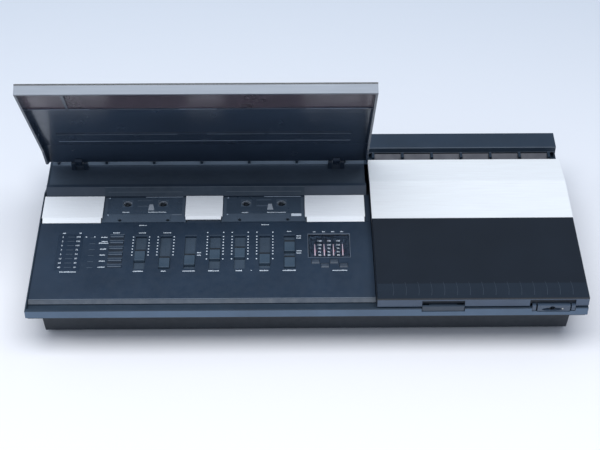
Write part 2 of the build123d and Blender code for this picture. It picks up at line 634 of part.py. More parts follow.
def lid_frame():
    """Lid frame: tapering side walls, front bar, liner, stiffening rib and hinge lugs."""
    under = -COVER_THICK - 0.05
    front = STRIP_BACK + 0.05
    wall = [
        (front, under), (RIDGE - 0.2, under), (244, -9.45),
        (228, -18.6), (195, -13.4), (front, STRIP_BOTTOM),
    ]
    frame = profile((0, LID_WALL), wall) + profile((DECK_RIGHT - LID_WALL, DECK_RIGHT), wall)
    inner = (LID_WALL - 0.1, DECK_RIGHT - LID_WALL + 0.1)
    frame += slab(inner, (front, front + 2), (STRIP_BOTTOM + 0.4, under))
    liner = [
        (LINER_FRONT, under), (RIDGE - 0.2, under), (243, -9.25),
        (242.8, -10.8), (RIDGE - 0.4, LINER_BOTTOM), (LINER_FRONT, LINER_BOTTOM),
    ]
    frame += profile(inner, liner)
    frame += slab((22, 370), (157.3, 181.6), (-4.7, -3.5))
    frame += slab((46, 49), (front + 1, LINER_FRONT + 1), (-4.2, under))
    for left in HINGE_LEFTS:
        span = (left + EAR_WIDTH + 0.5, left + HINGE_WIDTH - EAR_WIDTH - 0.5)
        lug = slab(span, (234, HINGE_Y), (HINGE_Z - HINGE_RADIUS, HINGE_Z + 0.6))
        lug += rod_x(span, HINGE_Y, HINGE_Z, HINGE_RADIUS)
        frame -= slab((left - 0.8, left + HINGE_WIDTH + 0.8), (242.2, 252), (-14, -5))
        frame += lug
        frame -= rod_x(span, HINGE_Y, HINGE_Z, PIN_RADIUS)
    return frame


def hinge_pins():
    """One pin for each hinge, fixed in the lid's lug and turning in the two ears."""
    pins = [rod_x((left, left + HINGE_WIDTH), HINGE_Y, HINGE_Z, PIN_RADIUS) for left in HINGE_LEFTS]
    return Compound(children=pins)


def build():
    os.makedirs("parts", exist_ok=True)
    save("base_tray", base_tray())
    save("surround_frame", surround_frame())
    save("rear_cover", rear_cover())
    save("case_screws", case_screws())
    save("feet", feet())
    save("rear_sockets", rear_sockets())

    save("control_panel", control_panel())
    save("meter_window", meter_window())
    save("tuner_window", tuner_window())
    for k, y in enumerate(SLIDER_REST):
        save(f"slider_knob_{k + 1}", slider_knob(COLUMNS[k], y))
    for k, y in enumerate(SWITCH_REST):
        save(f"slide_switch_{k + 1}", slider_knob(COLUMNS[6], y))
    for k, y in enumerate(KEY_ROWS):
        save(f"push_key_{k + 1}", push_key(y))
    for k, x in enumerate(TUNERS):
        save(f"tuning_wheel_{k + 1}", tuning_wheel(x, WHEEL_ROWS[k % 2]))
        save(f"tuning_pointer_{k + 1}", tuning_pointer(x))

    save("deck_surround", deck_surround())
    left, middle, right = trim_ranges()
    save("trim_plate_left", trim_plate(left, (1.0, 1.4)))
    short_lip = (MIDDLE_TRIM_BEND, MIDDLE_TRIM_FRONT, MIDDLE_TRIM_DROP)
    save("trim_plate_middle", trim_plate(middle, (0.6, 1.6), *short_lip))
    save("trim_plate_right", trim_plate(right, (2.2, 0.8)))
    save("deck_plate", deck_plate())
    save("drive_motor", drive_motor())
    for deck, center in DECKS.items():
        save(f"cassette_shell_{deck}", cassette_shell(center))
        save(f"reel_{deck}_left", reel(center - HUB_SPACING / 2, 22.0))
        save(f"reel_{deck}_right", reel(center + HUB_SPACING / 2, 15.0))
        save(f"capstan_flywheel_{deck}", capstan_flywheel(center))
        save(f"head_carriage_{deck}", head_carriage(center))

    save("receiver_frame", receiver_frame())
    glass = slab((RECEIVER_LEFT, WIDTH), (COVER_FRONT, GLASS_BACK), (-COVER_THICK, 0))
    save("receiver_glass", ease_top(glass, 0.4))
    save("receiver_plate", profile((RECEIVER_LEFT, WIDTH), cover_outline(GLASS_BACK + 0.2)))
    save("receiver_front_strip", receiver_front_strip())
    save("release_tab", release_tab())
    save("front_socket_block", front_socket_block())
    save("circuit_boards", circuit_boards())
    save("transformer", transformer())

    save_lid("lid_glass", lid_glass())
    save_lid("lid_plate", lid_plate())
    save_lid("lid_front_strip", lid_front_strip())
    save_lid("lid_frame", lid_frame())
    save_lid("hinge_pins", hinge_pins())


build()
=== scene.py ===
import json
import math
import random

import bmesh
import bpy
from mathutils import Matrix, Vector


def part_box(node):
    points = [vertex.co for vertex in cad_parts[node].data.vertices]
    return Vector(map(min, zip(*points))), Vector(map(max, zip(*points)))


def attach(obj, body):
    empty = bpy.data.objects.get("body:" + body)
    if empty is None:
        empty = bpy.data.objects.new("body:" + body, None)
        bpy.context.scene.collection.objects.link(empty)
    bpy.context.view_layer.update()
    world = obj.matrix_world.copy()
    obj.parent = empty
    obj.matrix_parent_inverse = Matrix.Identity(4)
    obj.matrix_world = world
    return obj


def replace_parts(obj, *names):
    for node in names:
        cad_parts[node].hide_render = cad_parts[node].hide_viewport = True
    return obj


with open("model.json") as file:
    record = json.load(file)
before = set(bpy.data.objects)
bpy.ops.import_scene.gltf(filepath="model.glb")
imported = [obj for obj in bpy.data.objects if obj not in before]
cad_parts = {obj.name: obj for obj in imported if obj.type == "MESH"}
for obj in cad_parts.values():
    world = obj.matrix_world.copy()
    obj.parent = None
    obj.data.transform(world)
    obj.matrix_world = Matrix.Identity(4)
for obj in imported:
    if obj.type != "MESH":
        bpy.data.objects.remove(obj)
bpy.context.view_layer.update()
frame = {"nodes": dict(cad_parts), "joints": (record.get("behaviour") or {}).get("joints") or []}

# Sizes are in cabinet millimetres: X runs right from the left side, Y runs back from the front
# edge, and Z is height above the glass. at() turns them into the frame's metres.
MM = 0.001
CASE_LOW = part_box("surround_frame")[0]
ORIGIN = Vector((CASE_LOW.x, CASE_LOW.y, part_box("receiver_glass")[1].z))
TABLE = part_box("feet")[0].z


def at(x, y, z):
    """A cabinet point in the frame's metres."""
    return ORIGIN + MM * Vector((x, y, z))


def cabinet(node):
    """Low and high corners of a CAD node in cabinet millimetres."""
    low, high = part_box(node)
    return (low - ORIGIN) / MM, (high - ORIGIN) / MM


def middle(node):
    """Centre of a CAD node in cabinet millimetres."""
    low, high = cabinet(node)
    return (low + high) / 2


TUNER_COUNT = 4
PANEL = cabinet("control_panel")[1].z
PRINT_THICK = 0.04

# Pieces of the lid are built where they lie when it is closed, and OPENED turns them to the open lid.
LID_JOINT = [joint for joint in frame["joints"] if joint["name"] == "lid_hinge"][0]
LID_PIVOT = Vector(LID_JOINT["pos_m"])
OPEN_TURN = Matrix.Rotation(-math.radians(LID_JOINT["range_deg"][1]), 4, "X")
OPENED = Matrix.Translation(LID_PIVOT) @ OPEN_TURN @ Matrix.Translation(-LID_PIVOT)


# ---- camera and light ----

def camera():
    """Camera in front of the cabinet and high above it, a little left of the middle."""
    place = at(291.7, -1127.2, 1178.9)
    yaw, tilt, roll = math.radians(-0.774), math.radians(46.67), math.radians(0.195)
    data = bpy.data.cameras.new("view_camera")
    data.sensor_width = 36.0
    data.lens = 88.15
    eye = bpy.data.objects.new("view_camera", data)
    turn = Matrix.Rotation(yaw, 4, "Z") @ Matrix.Rotation(tilt, 4, "X") @ Matrix.Rotation(roll, 4, "Z")
    eye.matrix_world = Matrix.Translation(place) @ turn
    bpy.context.scene.collection.objects.link(eye)
    bpy.context.scene.camera = eye


def sky():
    """Even pale blue sky."""
    world = bpy.data.worlds.new("sky")
    world.use_nodes = True
    background = world.node_tree.nodes["Background"]
    background.inputs["Color"].default_value = (0.62, 0.76, 1.0, 1.0)
    background.inputs["Strength"].default_value = 0.44
    bpy.context.scene.world = world


def soft_box(name, place, target, size, power):
    """Large rectangular lamp at a place, turned to a target; both in metres."""
    data = bpy.data.lights.new(name, "AREA")
    data.shape = "RECTANGLE"
    data.size, data.size_y = size
    data.energy = power
    data.color = (0.90, 0.95, 1.0)
    lamp = bpy.data.objects.new(name, data)
    aim = (Vector(target) - Vector(place)).to_track_quat("-Z", "Y").to_matrix().to_4x4()
    lamp.matrix_world = Matrix.Translation(place) @ aim
    bpy.context.scene.collection.objects.link(lamp)


def lamps():
    """Key lamp above the front, a weak one farther forward and one at the left."""
    soft_box("lamp_above", (0.0, -0.45, 2.2), (0.0, 0.0, 0.0), size=(2.4, 1.2), power=48.0)
    soft_box("lamp_front", (0.2, -1.9, 2.3), (0.0, 0.0, 0.0), size=(2.2, 1.2), power=7.0)
    soft_box("lamp_left", (-2.2, 0.0, 1.5), (0.0, 0.0, 0.1), size=(1.2, 1.6), power=9.0)
    bpy.context.scene.view_settings.view_transform = "Standard"


def backdrop():
    """Wide paper floor, a little darker to the back: painted shade where the lamps' light falls off."""
    reach = 6.0
    plane = bpy.data.meshes.new("floor")
    corners = [(x * reach, y * reach, TABLE) for x, y in ((-1, -1), (1, -1), (1, 1), (-1, 1))]
    plane.from_pydata(corners, [], [(0, 1, 2, 3)])
    floor = bpy.data.objects.new("floor", plane)
    bpy.context.scene.collection.objects.link(floor)
    paper = Finish("floor_paper", {"Roughness": 0.85})
    # Painted shade: the paper colour darkens towards the back as the light falls off.
    paper.colour(paper.along("Y", -0.35, 0.75), (0.93, 0.88, 0.86), (0.66, 0.69, 0.73), 0.0, 1.0)
    paper.relief(paper.noise((3, 3, 3)), 0.05)
    floor.data.materials.append(paper.material)


# ---- materials ----

NOISE_LOW, NOISE_HIGH = 0.3, 0.7  # nearly all values of the noise lie between these


class Finish:
    """A Principled material whose colour, roughness and relief vary with noise fixed to the piece."""

    def __init__(self, name, settings=None):
        self.material = bpy.data.materials.new(name)
        self.material.use_nodes = True
        self.tree = self.material.node_tree
        self.shader = self.tree.nodes["Principled BSDF"]
        for key, value in (settings or {}).items():
            self.shader.inputs[key].default_value = value
        self.place = self.tree.nodes.new("ShaderNodeTexCoord").outputs["Object"]

    def noise(self, grain, detail=3.0):
        """Noise whose grain size along X, Y and Z is given in millimetres."""
        mapping = self.tree.nodes.new("ShaderNodeMapping")
        mapping.inputs["Scale"].default_value = [1.0 / (size * MM) for size in grain]
        noise = self.tree.nodes.new("ShaderNodeTexNoise")
        noise.inputs["Scale"].default_value = 1.0
        noise.inputs["Detail"].default_value = detail
        self.tree.links.new(self.place, mapping.inputs["Vector"])
        self.tree.links.new(mapping.outputs["Vector"], noise.inputs["Vector"])
        return noise.outputs["Fac"]

    def along(self, axis, start, stop):
        """Share of the way from start to stop, in metres, along an axis."""
        split = self.tree.nodes.new("ShaderNodeSeparateXYZ")
        share = self.tree.nodes.new("ShaderNodeMapRange")
        share.inputs["From Min"].default_value = start
        share.inputs["From Max"].default_value = stop
        self.tree.links.new(self.place, split.inputs["Vector"])
        self.tree.links.new(split.outputs[axis], share.inputs["Value"])
        return share.outputs["Result"]

    def paint_front_light(self, factor):
        """Painted light: multiply the base colour by a factor on faces that look to the front."""
        source = self.shader.inputs["Base Color"].links[0].from_socket
        facing = self.tree.nodes.new("ShaderNodeTexCoord").outputs["Normal"]
        split = self.tree.nodes.new("ShaderNodeSeparateXYZ")
        share = self.tree.nodes.new("ShaderNodeMapRange")
        share.inputs["From Min"].default_value = -0.8
        share.inputs["From Max"].default_value = -0.95
        share.inputs["To Min"].default_value = 1.0
        share.inputs["To Max"].default_value = factor
        scale = self.tree.nodes.new("ShaderNodeVectorMath")
        scale.operation = "SCALE"
        self.tree.links.new(facing, split.inputs["Vector"])
        self.tree.links.new(split.outputs["Y"], share.inputs["Value"])
        self.tree.links.new(source, scale.inputs["Vector"])
        self.tree.links.new(share.outputs["Result"], scale.inputs["Scale"])
        self.tree.links.new(scale.outputs["Vector"], self.shader.inputs["Base Color"])
        return self

    def colour(self, source, low, high, start=NOISE_LOW, stop=NOISE_HIGH):
        """Base colour that runs from low to high as the source goes from start to stop."""
        ramp = self.tree.nodes.new("ShaderNodeValToRGB")
        ramp.color_ramp.elements[0].position = start
        ramp.color_ramp.elements[0].color = (*low, 1.0)
        ramp.color_ramp.elements[1].position = stop
        ramp.color_ramp.elements[1].color = (*high, 1.0)
        self.tree.links.new(source, ramp.inputs["Fac"])
        self.tree.links.new(ramp.outputs["Color"], self.shader.inputs["Base Color"])
        return self

    def rough(self, source, low, high):
        """Roughness that runs from low to high with the noise."""
        spread = self.tree.nodes.new("ShaderNodeMapRange")
        spread.inputs["From Min"].default_value = NOISE_LOW
        spread.inputs["From Max"].default_value = NOISE_HIGH
        spread.inputs["To Min"].default_value = low
        spread.inputs["To Max"].default_value = high
        self.tree.links.new(source, spread.inputs["Value"])
        self.tree.links.new(spread.outputs["Result"], self.shader.inputs["Roughness"])
        return self

    def relief(self, source, depth, strength=0.6):
        """Bump of that depth in millimetres."""
        bump = self.tree.nodes.new("ShaderNodeBump")
        bump.inputs["Distance"].default_value = depth * MM
        bump.inputs["Strength"].default_value = strength
        self.tree.links.new(source, bump.inputs["Height"])
        self.tree.links.new(bump.outputs["Normal"], self.shader.inputs["Normal"])
        return self


def shade(colour, factor):
    """Colour made lighter or darker."""
    return tuple(min(1.0, part * factor) for part in colour)


def moulding(name, colour, low, high, grain=0.5, depth=0.05, front=1.0):
    """Moulded plastic with a fine grain and slow changes of tone; front paints light onto its front faces.
    """
    finish = Finish(name)
    cloud = finish.noise((45, 45, 45), detail=5.0)
    finish.colour(cloud, shade(colour, 0.88), shade(colour, 1.12))
    if front != 1.0:
        finish.paint_front_light(front)
    finish.rough(finish.noise((9, 9, 9)), low, high)
    return finish.relief(finish.noise((grain, grain, grain), detail=4.0), depth).material


def gloss(name, colour, low, high, coat=0.0):
    """Polished surface with faint smears of dust that dull it here and there."""
    finish = Finish(name, {"Coat Weight": coat, "Coat Roughness": 0.04})
    finish.colour(finish.noise((60, 60, 60), detail=4.0), shade(colour, 0.9), shade(colour, 1.15))
    return finish.rough(finish.noise((22, 22, 22), detail=6.0), low, high).material


def brushed(name, colour, low, high, metallic=0.75):
    """Aluminium brushed along X: long fine scratches in the colour, the gloss and the relief."""
    finish = Finish(name, {"Metallic": metallic})
    hair = finish.noise((34, 0.22, 0.22), detail=6.0)
    finish.colour(hair, shade(colour, 0.90), shade(colour, 1.06))
    finish.rough(finish.noise((60, 0.7, 0.7), detail=4.0), low, high)
    return finish.relief(hair, 0.02).material


def pane(name, colour, low, high):
    """Tinted see-through sheet."""
    finish = Finish(name, {"Transmission Weight": 1.0, "IOR": 1.45})
    finish.colour(finish.noise((80, 80, 80)), shade(colour, 0.93), shade(colour, 1.07))
    return finish.rough(finish.noise((25, 25, 25), detail=5.0), low, high).material


def metal(name, colour, low, high, grain=1.5):
    """Plated or turned metal with fine cloudy grain."""
    finish = Finish(name, {"Metallic": 1.0})
    finish.colour(finish.noise((6, 6, 6), detail=5.0), shade(colour, 0.85), shade(colour, 1.1))
    finish.rough(finish.noise((grain, grain, grain)), low, high)
    return finish.relief(finish.noise((0.6, 0.6, 0.6)), 0.01).material


case_black = moulding("case_black", (0.020, 0.026, 0.034), 0.42, 0.58)
# front=4.0 is painted light: the rail's front faces are drawn four times lighter, as lit from the front.
rail_paint = moulding("rail_paint", (0.019, 0.032, 0.049), 0.34, 0.46, grain=0.35, depth=0.02,
                      front=4.0)
# Painted shade and reflection: the aluminium front strip is drawn in the dark grey-blue it shows facing the
# dark room.
strip_painted_shade = moulding("strip_painted_shade", (0.055, 0.085, 0.132), 0.30, 0.42, grain=0.35, depth=0.02)
panel_black = moulding("panel_black", (0.018, 0.032, 0.054), 0.40, 0.52, grain=0.45, depth=0.04)
# Painted light: the deck moulding is lighter than the panel to make up for the shade of the open lid.
deck_painted_light = moulding("deck_painted_light", (0.024, 0.038, 0.060), 0.40, 0.52, grain=0.45, depth=0.04)
# Lining and hood colours are painted light: raised to make up for the shade under the open lid.
lining_painted_light = moulding("lining_painted_light", (0.056, 0.078, 0.108), 0.60, 0.75)
hood_painted_light = moulding("hood_painted_light", (0.024, 0.040, 0.060), 0.60, 0.75)
bar_black = moulding("bar_black", (0.015, 0.027, 0.044), 0.42, 0.58)
pocket_grey = moulding("pocket_grey", (0.040, 0.060, 0.086), 0.45, 0.60, grain=0.6, depth=0.03)
knob_grey = moulding("knob_grey", (0.044, 0.070, 0.100), 0.38, 0.52, grain=0.5, depth=0.05)
knob_dark = moulding("knob_dark", (0.012, 0.016, 0.022), 0.45, 0.60)
key_grey = moulding("key_grey", (0.030, 0.046, 0.070), 0.35, 0.48)
tab_grey = moulding("tab_grey", (0.040, 0.058, 0.082), 0.36, 0.48, grain=0.4, depth=0.02)
socket_grey = moulding("socket_grey", (0.060, 0.086, 0.124), 0.34, 0.46, grain=0.35, depth=0.02)
cassette_body = moulding("cassette_body", (0.074, 0.100, 0.135), 0.32, 0.46, grain=0.4, depth=0.03)
label_film = gloss("label_film", (0.046, 0.066, 0.094), 0.24, 0.34)
gauge_grey = moulding("gauge_grey", (0.34, 0.37, 0.41), 0.40, 0.52, grain=0.5, depth=0.02)
# Painted shadow: the dark lines laid between the push keys.
shadow_line_black = moulding("shadow_line_black", (0.012, 0.017, 0.025), 0.50, 0.65)
# The card's blue is raised as painted light, to make up for the shade in the deep window recess.
card_blue_painted_light = moulding("card_blue_painted_light", (0.085, 0.115, 0.155), 0.50, 0.65)
gloss_black = gloss("gloss_black", (0.008, 0.011, 0.016), 0.10, 0.20, coat=0.4)
lid_black = gloss("lid_black", (0.034, 0.051, 0.080), 0.18, 0.28, coat=0.2)
glass_black = gloss("glass_black", (0.006, 0.009, 0.014), 0.05, 0.11)
touch_film = gloss("touch_film", (0.010, 0.016, 0.025), 0.12, 0.20)
meter_pane = gloss("meter_pane", (0.018, 0.031, 0.052), 0.30, 0.40)
plate_silver = brushed("plate_silver", (0.98, 0.95, 0.92), 0.34, 0.48, metallic=0.20)
trim_silver = brushed("trim_silver", (0.98, 0.97, 0.97), 0.36, 0.50, metallic=0.0)
lid_silver = brushed("lid_silver", (0.20, 0.215, 0.24), 0.40, 0.52, metallic=0.30)
smoked_glass = pane("smoked_glass", (0.085, 0.066, 0.080), 0.18, 0.28)
clear_pane = pane("clear_pane", (0.62, 0.66, 0.72), 0.02, 0.05)
steel = metal("steel", (0.50, 0.51, 0.53), 0.28, 0.42)
screw_steel = metal("screw_steel", (0.30, 0.31, 0.33), 0.30, 0.45)
contact_metal = metal("contact_metal", (0.72, 0.70, 0.64), 0.18, 0.30)
# Pale grey for the cassette screw heads, and for painted highlights on the ledge bar, the liner edge and the
# rib bead.
pale_metal_and_highlight = moulding("pale_metal_and_highlight", (0.36, 0.42, 0.50), 0.25, 0.40, grain=0.4, depth=0.01)
rubber = moulding("rubber", (0.014, 0.015, 0.017), 0.70, 0.85, grain=0.8, depth=0.08)
board = moulding("board", (0.020, 0.070, 0.035), 0.40, 0.55)
hub_white = moulding("hub_white", (0.23, 0.26, 0.30), 0.40, 0.52, grain=0.8, depth=0.02)
tape_brown = gloss("tape_brown", (0.030, 0.018, 0.012), 0.22, 0.34)
ink_white = moulding("ink_white", (0.72, 0.77, 0.82), 0.50, 0.62, grain=0.3, depth=0.01)
# Dim and faint ink serve for print and for painted highlight lines.
dim_ink_and_highlight = moulding("dim_ink_and_highlight", (0.16, 0.19, 0.23), 0.50, 0.62, grain=0.3, depth=0.01)
faint_ink_and_highlight = moulding("faint_ink_and_highlight", (0.060, 0.080, 0.105), 0.45, 0.58, grain=0.3, depth=0.01)
mark_ink = moulding("mark_ink", (0.030, 0.040, 0.054), 0.30, 0.40, grain=0.3, depth=0.01)
track_ink = moulding("track_ink", (0.50, 0.40, 0.46), 0.45, 0.60, grain=0.3, depth=0.01)
pointer_red = moulding("pointer_red", (0.62, 0.16, 0.20), 0.30, 0.42)
vent_grey = moulding("vent_grey", (0.050, 0.050, 0.062), 0.50, 0.62)

NODE_MATERIALS = {
    case_black: ["base_tray", "receiver_frame"],
    bar_black: ["rear_cover"],
    rail_paint: ["surround_frame"],
    strip_painted_shade: ["receiver_front_strip"],
    panel_black: ["control_panel"],
    socket_grey: ["front_socket_block"],
    tab_grey: ["release_tab"],
    deck_painted_light: ["deck_surround"],
    screw_steel: ["case_screws"],
    rubber: ["feet"],
    gloss_black: ["rear_sockets"],
    lid_black: ["lid_frame"],
    glass_black: ["receiver_glass"],
    meter_pane: ["meter_window"],
    clear_pane: ["tuner_window"],
    trim_silver: ["trim_plate_left", "trim_plate_middle", "trim_plate_right"],
    plate_silver: ["receiver_plate", "lid_plate"],
    lid_silver: ["lid_front_strip"],
    smoked_glass: ["lid_glass"],
    steel: ["deck_plate", "drive_motor", "hinge_pins", "transformer"],
    board: ["circuit_boards"],
    cassette_body: ["cassette_shell_a", "cassette_shell_b"],
}


def paint_node(name, material):
    """Make a material the only one of a CAD node."""
    mesh = frame["nodes"][name].data
    mesh.materials.clear()
    mesh.materials.append(material)


def finish_nodes():
    """Give the CAD nodes that stay their materials."""
    for material, names in NODE_MATERIALS.items():
        for name in names:
            paint_node(name, material)
    for deck in "ab":
        paint_node(f"capstan_flywheel_{deck}", steel)
        paint_node(f"head_carriage_{deck}", contact_metal)
    for k in range(TUNER_COUNT):
        paint_node(f"tuning_wheel_{k + 1}", key_grey)
        paint_node(f"tuning_pointer_{k + 1}", pointer_red)


# ---- pieces ----

BEVEL_ABOVE = math.radians(35)
SHARP_ABOVE = math.radians(38)
FIGURE_SHARE = 0.7  # height of a figure as a share of the type size


def around(center, half):
    """Two limits at equal distances from a centre."""
    return center - half, center + half


def over(start, size=PRINT_THICK):
    """Limits of a layer that begins at a level, by default as thick as print."""
    return start, start + size


def arched(start, stop, level, rise, steps):
    """Points along Y that bow by a rise above a level; a negative rise makes a dish."""
    shares = [k / steps for k in range(1, steps)]
    return [(start + (stop - start) * share, level + rise * math.sin(math.pi * share)) for share in shares]


class Piece:
    """A mesh put together in cabinet millimetres, which becomes one object."""

    def __init__(self):
        self.mesh = bmesh.new()

    def extrude(self, outline, offset):
        """Closed prism from a flat outline of points and an offset."""
        near = [self.mesh.verts.new(point) for point in outline]
        far = [self.mesh.verts.new(Vector(point) + Vector(offset)) for point in outline]
        self.mesh.faces.new(near)
        self.mesh.faces.new(list(reversed(far)))
        count = len(near)
        for k in range(count):
            after = (k + 1) % count
            self.mesh.faces.new([near[k], far[k], far[after], near[after]])

    def slab(self, x, y, z):
        """Box between two limits along each axis."""
        outline = [(x[0], y[0], z[0]), (x[1], y[0], z[0]), (x[1], y[1], z[0]), (x[0], y[1], z[0])]
        self.extrude(outline, (0, 0, z[1] - z[0]))

    def profile(self, x, outline):
        """Side outline of (Y, Z) points drawn out along X."""
        self.extrude([(x[0], y, z) for y, z in outline], (x[1] - x[0], 0, 0))

    def plate(self, outline, z):
        """Plan outline of (X, Y) points drawn up along Z."""
        self.extrude([(x, y, z[0]) for x, y in outline], (0, 0, z[1] - z[0]))

    def lathe(self, center, outline, steps=40, axis="Z"):
        """Ring turned about an axis through the center from (radius, height) points."""
        turn = {"Z": Matrix.Identity(3), "Y": Matrix.Rotation(math.radians(-90), 3, "X"),
                "X": Matrix.Rotation(math.radians(90), 3, "Y")}[axis]
        rings = []
        for k in range(steps):
            angle = 2 * math.pi * k / steps
            ring = [turn @ Vector((r * math.cos(angle), r * math.sin(angle), h)) for r, h in outline]
            rings.append([self.mesh.verts.new(Vector(center) + point) for point in ring])
        for k in range(steps):
            one, two = rings[k], rings[(k + 1) % steps]
            for n in range(len(outline)):
                m = (n + 1) % len(outline)
                self.mesh.faces.new([one[n], two[n], two[m], one[m]])
        bmesh.ops.remove_doubles(self.mesh, verts=self.mesh.verts[:], dist=1e-5)

    def number(self, words, x, y, z, height):
        """Figures of a height, centred on a point of a flat top and read from the front."""
        curve = bpy.data.curves.new("figures", "FONT")
        curve.body = words
        curve.align_x = "CENTER"
        curve.align_y = "CENTER"
        curve.size = height / FIGURE_SHARE
        curve.extrude = PRINT_THICK / 2
        curve.resolution_u = 3
        holder = bpy.data.objects.new("figures", curve)
        bpy.context.scene.collection.objects.link(holder)
        shape = bpy.data.meshes.new_from_object(holder.evaluated_get(bpy.context.evaluated_depsgraph_get()))
        shape.transform(Matrix.Translation((x, y, z + PRINT_THICK / 2)))
        self.mesh.from_mesh(shape)
        bpy.data.objects.remove(holder)
        bpy.data.curves.remove(curve)
        bpy.data.meshes.remove(shape)

    def caption(self, x, y, z, width, height=1.7):
        """Row of short strokes with no letters, which stands for a line of small print."""
        draw = random.Random(round(x * 10 + y))
        left = x - width / 2
        while left < x + width / 2 - 0.5:
            stroke = draw.uniform(0.55, 1.1)
            rise = height * draw.choice((0.7, 0.85, 1.0))
            self.slab(over(left, stroke), over(y - height / 2, rise), over(z))
            left += stroke + draw.uniform(0.3, 0.45)

    def make(self, name, body, material, slot, bevel=0.0, segments=2, on_lid=False, smooth=True):
        """Turn the mesh into an object in metres, with an optional bevel, that rides on its body."""
        bmesh.ops.recalc_face_normals(self.mesh, faces=self.mesh.faces[:])
        data = bpy.data.meshes.new(name)
        self.mesh.to_mesh(data)
        self.mesh.free()
        data.transform(Matrix.Translation(ORIGIN) @ Matrix.Scale(MM, 4))
        if on_lid:
            data.transform(OPENED)
        data.materials.append(material)
        piece = bpy.data.objects.new(name, data)
        bpy.context.scene.collection.objects.link(piece)
        if bevel:
            edge = piece.modifiers.new("edge", "BEVEL")
            edge.width = bevel * MM
            edge.segments = segments
            edge.limit_method = "ANGLE"
            edge.angle_limit = BEVEL_ABOVE
        if smooth:
            data.shade_smooth()
            data.set_sharp_from_angle(angle=SHARP_ABOVE)
        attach(piece, body)
        return piece


# ---- control panel ----

POCKET_FLOOR = -18.4
SLIDER_COUNT = 6
SWITCH_COUNT = 2
KEY_COUNT = 6

# The last column holds both slide switches.
COLUMNS = [middle(f"slider_knob_{k + 1}").x for k in range(SLIDER_COUNT)] + [middle("slide_switch_1").x]
KEYS = [middle(f"push_key_{k + 1}").y for k in range(KEY_COUNT)]
TUNERS = [middle(f"tuning_pointer_{k + 1}").x for k in range(TUNER_COUNT)]
SLOT_HALF_WIDTH = 6.4
SLOT_FRONT = 66.8
SLOT_BACK = 120.5

METER_FRONT = 70.3
METER_PITCH = 7.19
METER_FIGURES = (("40", "10"), ("20", "20"), ("10", "30"), ("5", "50"), ("3", "75"), ("0", "100"),
                 ("3", "150"), ("5", "200"))
METER_ROWS = [METER_FRONT + METER_PITCH * k for k in range(len(METER_FIGURES))]

KNOB_BOTTOM = POCKET_FLOOR + 0.4
KNOB_STEP_LENGTH = 3.2


def knob_cap(node, body):
    """Grip of a knob, with a shallow dish along its top."""
    low, high = cabinet(node)
    back = high.y - KNOB_STEP_LENGTH
    edge = 0.9
    dish = 0.35
    outline = [(low.y, KNOB_BOTTOM), (low.y, high.z)]
    outline += arched(low.y + edge, back - edge, high.z, -dish, 8)
    outline += [(back, high.z), (back, KNOB_BOTTOM)]
    cap = Piece()
    cap.profile((low.x, high.x), outline)
    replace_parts(cap.make(f"{node}_cap", body, knob_grey, "knob_grey", bevel=0.45, segments=3), node)


def knob_step(node, body):
    """Lower dark step behind the grip, and the stem that goes down through the slit."""
    low, high = cabinet(node)
    grip_back = high.y - KNOB_STEP_LENGTH
    front = grip_back - 0.2
    top = high.z - 0.9
    inset = 0.1
    step = Piece()
    step.profile((low.x + inset, high.x - inset), [
        (front, KNOB_BOTTOM), (front, top), (high.y, top), (high.y, KNOB_BOTTOM)])
    stem_x = (low.x + high.x) / 2
    stem_y = (low.y + grip_back) / 2
    step.slab(around(stem_x, 0.6), around(stem_y, 4), (low.z, KNOB_BOTTOM + 0.1))
    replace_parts(step.make(f"{node}_step", body, knob_dark, "knob_grey", bevel=0.25), node)


def slider_knobs():
    """Knobs of the sliders and the two slide switches."""
    controls = [(f"slider_knob_{k + 1}", f"slider_{k + 1}") for k in range(SLIDER_COUNT)]
    controls += [(f"slide_switch_{k + 1}", f"switch_{k + 1}") for k in range(SWITCH_COUNT)]
    for node, body in controls:
        knob_cap(node, body)
        knob_step(node, body)


def pocket_liners():
    """Two soft grey lips on each pocket floor, meeting over the slit."""
    gap = 0.04
    margin = 0.1
    length = (SLOT_FRONT + margin, SLOT_BACK - margin)
    for k, x in enumerate(COLUMNS):
        liner = Piece()
        for side in (-1, 1):
            edges = sorted((x + side * gap, x + side * SLOT_HALF_WIDTH))
            liner.slab(edges, length, over(POCKET_FLOOR + 0.02, 0.2))
        liner.make(f"pocket_liner_{k + 1}", "chassis", pocket_grey, "panel_black", smooth=False)


def pocket_rim_highlights():
    """Fine raised rim behind each pocket, pale as a painted highlight on the pocket's back edge."""
    rims = Piece()
    for x in COLUMNS:
        rims.slab(around(x, SLOT_HALF_WIDTH + 0.4), (SLOT_BACK + 1.4, SLOT_BACK + 2.1),
                  (PANEL - 0.1, PANEL + 0.12))
    rims.make("pocket_rim_highlights", "chassis", faint_ink_and_highlight, "panel_black", smooth=False)


def push_keys():
    """Narrow keys with a crowned top, rounded edges and a pale ridge near the front that is a painted
    highlight.
    """
    crown = 0.3
    lip = 1.5
    foot = -20.9
    for k in range(KEY_COUNT):
        node, body = f"push_key_{k + 1}", f"key_{k + 1}"
        low, high = cabinet(node)
        left, right = low.x + lip, high.x - lip
        shoulder = high.z - crown
        outline = [(low.y, foot), (low.y, shoulder)]
        outline += arched(low.y, high.y, shoulder, crown, 6)
        outline += [(high.y, shoulder), (high.y, foot)]
        key = Piece()
        key.profile((left, right), outline)
        key.slab((low.x, high.x), (low.y, high.y), (low.z, foot + 0.1))
        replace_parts(key.make(f"{node}_cap", body, key_grey, "knob_grey", bevel=0.3), node)
        ridge_highlight = Piece()
        ridge_highlight.slab((left + 0.2, right - 0.2), over(low.y + 0.8, 0.45), (high.z - 0.35, high.z))
        ridge_highlight.make(f"{node}_ridge", body, dim_ink_and_highlight, "knob_grey", smooth=False)


